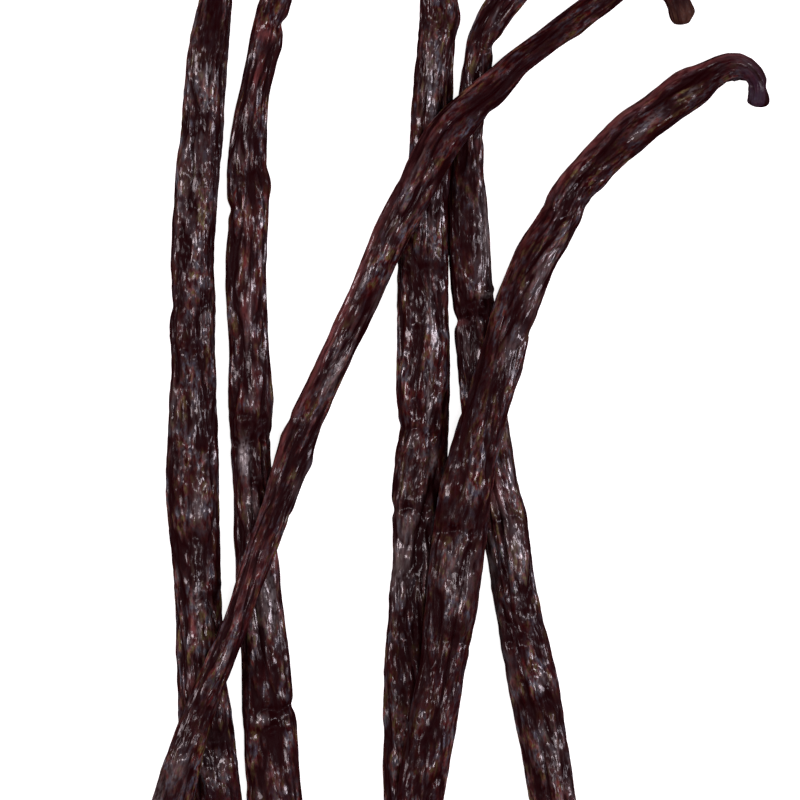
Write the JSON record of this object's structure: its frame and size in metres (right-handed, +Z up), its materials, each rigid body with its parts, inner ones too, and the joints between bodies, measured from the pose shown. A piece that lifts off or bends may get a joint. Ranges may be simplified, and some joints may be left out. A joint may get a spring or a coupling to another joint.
{
  "type": "bundle of vanilla pods",
  "caption": "Loose bundle of cured vanilla pods: long, flattened, ridged and oily dark brown, some with a curled stalk, lying side by side and slantwise over each other.",
  "frame": {"origin": "on the surface the pods lie on, under the middle of the bundle's box", "axes": "+Z up, +Y along the pods from their blossom ends to their stalks, +X to the side the curled stalks point to"},
  "size_m": [0.1022, 0.1737, 0.0092],
  "materials": {
    "pod_a_skin": "oily, wrinkled lengthwise",
    "pod_b_skin": "oily, wrinkled lengthwise",
    "pod_c_skin": "oily, wrinkled lengthwise",
    "pod_d_skin": "oily, wrinkled lengthwise",
    "pod_e_skin": "oily, wrinkled lengthwise",
    "pod_f_skin": "oily, wrinkled lengthwise"
  },
  "bodies": {
    "root": {"pod_a": "pod_a_skin", "pod_b": "pod_b_skin", "pod_c": "pod_c_skin", "pod_d": "pod_d_skin", "pod_e": "pod_e_skin", "pod_f": "pod_f_skin"}
  },
  "joints": []
}
